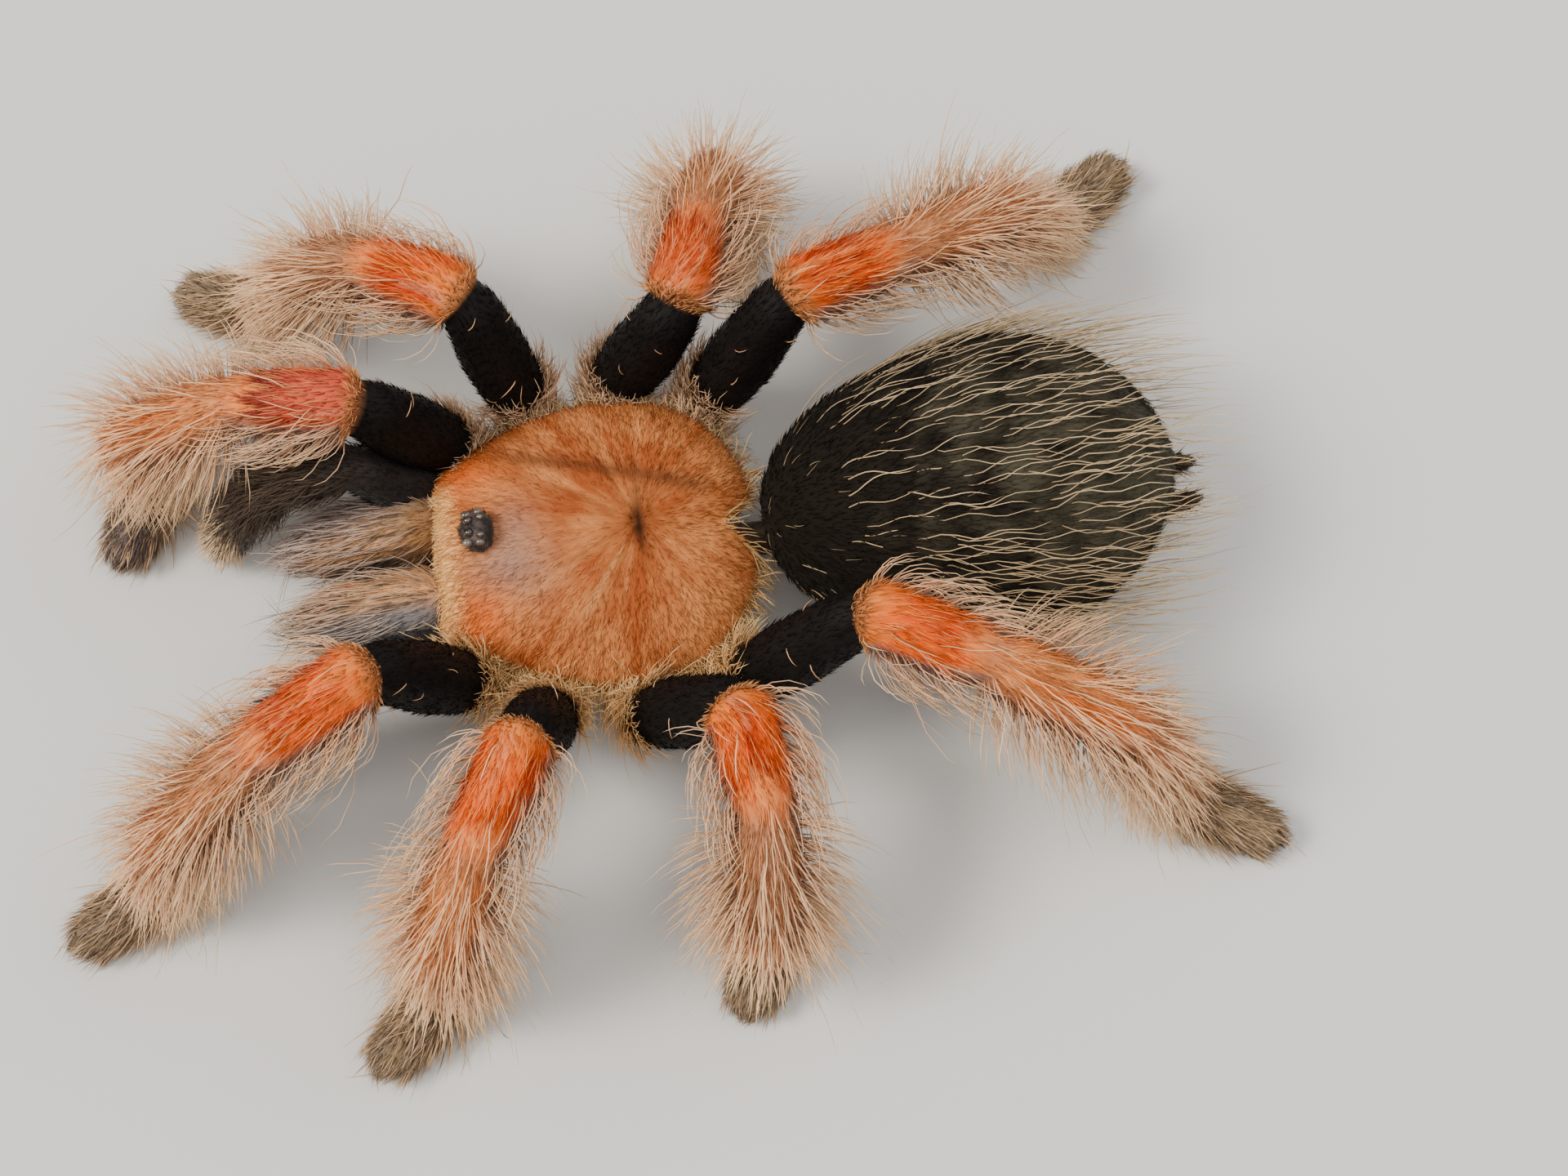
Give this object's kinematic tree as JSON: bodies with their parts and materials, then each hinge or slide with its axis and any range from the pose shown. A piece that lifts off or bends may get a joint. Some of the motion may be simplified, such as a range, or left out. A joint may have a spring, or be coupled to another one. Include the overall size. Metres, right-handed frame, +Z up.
{
  "type": "tarantula",
  "caption": "Still, life-size model of a stout, hairy ground tarantula with orange-red knee patches, standing on the floor with its legs drawn in.",
  "frame": {"origin": "middle of the whole animal's box, on the floor that its feet stand on", "axes": "+Z up; the head looks along -Y and the abdomen lies along +Y; the animal's left side is +X"},
  "size_m": [0.0648, 0.0826, 0.0217],
  "materials": {
    "shield_hair": "short combed orange-brown hair",
    "eyes": "glossy black beads on a dark mound",
    "underside_hair": "dark brown velvet",
    "abdomen_hair": "black velvet under long cream hairs",
    "spinneret_hair": "short dark hair",
    "jaw_hair": "beige-brown hair combed forward",
    "fangs": "smooth glossy black horn",
    "palp_hair": "dark brown hair",
    "femur_hair": "black velvet",
    "patella_hair": "orange-red streaks edged with long cream hair",
    "tibia_hair": "peach skin under long cream hair",
    "metatarsus_hair": "greyish pink skin under long pale hair",
    "tarsus_hair": "short olive-grey hair"
  },
  "bodies": {
    "root": {"carapace": "shield_hair", "eye_mound": "eyes", "prosoma_underside": "underside_hair", "pedicel": "underside_hair", "abdomen": "abdomen_hair", "spinneret_left": "spinneret_hair", "spinneret_right": "spinneret_hair", "chelicera_left": "jaw_hair", "chelicera_right": "jaw_hair", "fang_left": "fangs", "fang_right": "fangs", "palp_left_femur": "palp_hair", "palp_left_patella": "palp_hair", "palp_left_tibia": "palp_hair", "palp_left_tarsus": "palp_hair", "palp_right_femur": "palp_hair", "palp_right_patella": "palp_hair", "palp_right_tibia": "palp_hair", "palp_right_tarsus": "palp_hair", "leg_1_left_femur": "femur_hair", "leg_1_left_patella": "patella_hair", "leg_1_left_tibia": "tibia_hair", "leg_1_left_metatarsus": "metatarsus_hair", "leg_1_left_tarsus": "tarsus_hair", "leg_1_right_femur": "femur_hair", "leg_1_right_patella": "patella_hair", "leg_1_right_tibia": "tibia_hair", "leg_1_right_metatarsus": "metatarsus_hair", "leg_1_right_tarsus": "tarsus_hair", "leg_2_left_femur": "femur_hair", "leg_2_left_patella": "patella_hair", "leg_2_left_tibia": "tibia_hair", "leg_2_left_metatarsus": "metatarsus_hair", "leg_2_left_tarsus": "tarsus_hair", "leg_2_right_femur": "femur_hair", "leg_2_right_patella": "patella_hair", "leg_2_right_tibia": "tibia_hair", "leg_2_right_metatarsus": "metatarsus_hair", "leg_2_right_tarsus": "tarsus_hair", "leg_3_left_femur": "femur_hair", "leg_3_left_patella": "patella_hair", "leg_3_left_tibia": "tibia_hair", "leg_3_left_metatarsus": "metatarsus_hair", "leg_3_left_tarsus": "tarsus_hair", "leg_3_right_femur": "femur_hair", "leg_3_right_patella": "patella_hair", "leg_3_right_tibia": "tibia_hair", "leg_3_right_metatarsus": "metatarsus_hair", "leg_3_right_tarsus": "tarsus_hair", "leg_4_left_femur": "femur_hair", "leg_4_left_patella": "patella_hair", "leg_4_left_tibia": "tibia_hair", "leg_4_left_metatarsus": "metatarsus_hair", "leg_4_left_tarsus": "tarsus_hair", "leg_4_right_femur": "femur_hair", "leg_4_right_patella": "patella_hair", "leg_4_right_tibia": "tibia_hair", "leg_4_right_metatarsus": "metatarsus_hair", "leg_4_right_tarsus": "tarsus_hair"}
  },
  "joints": []
}
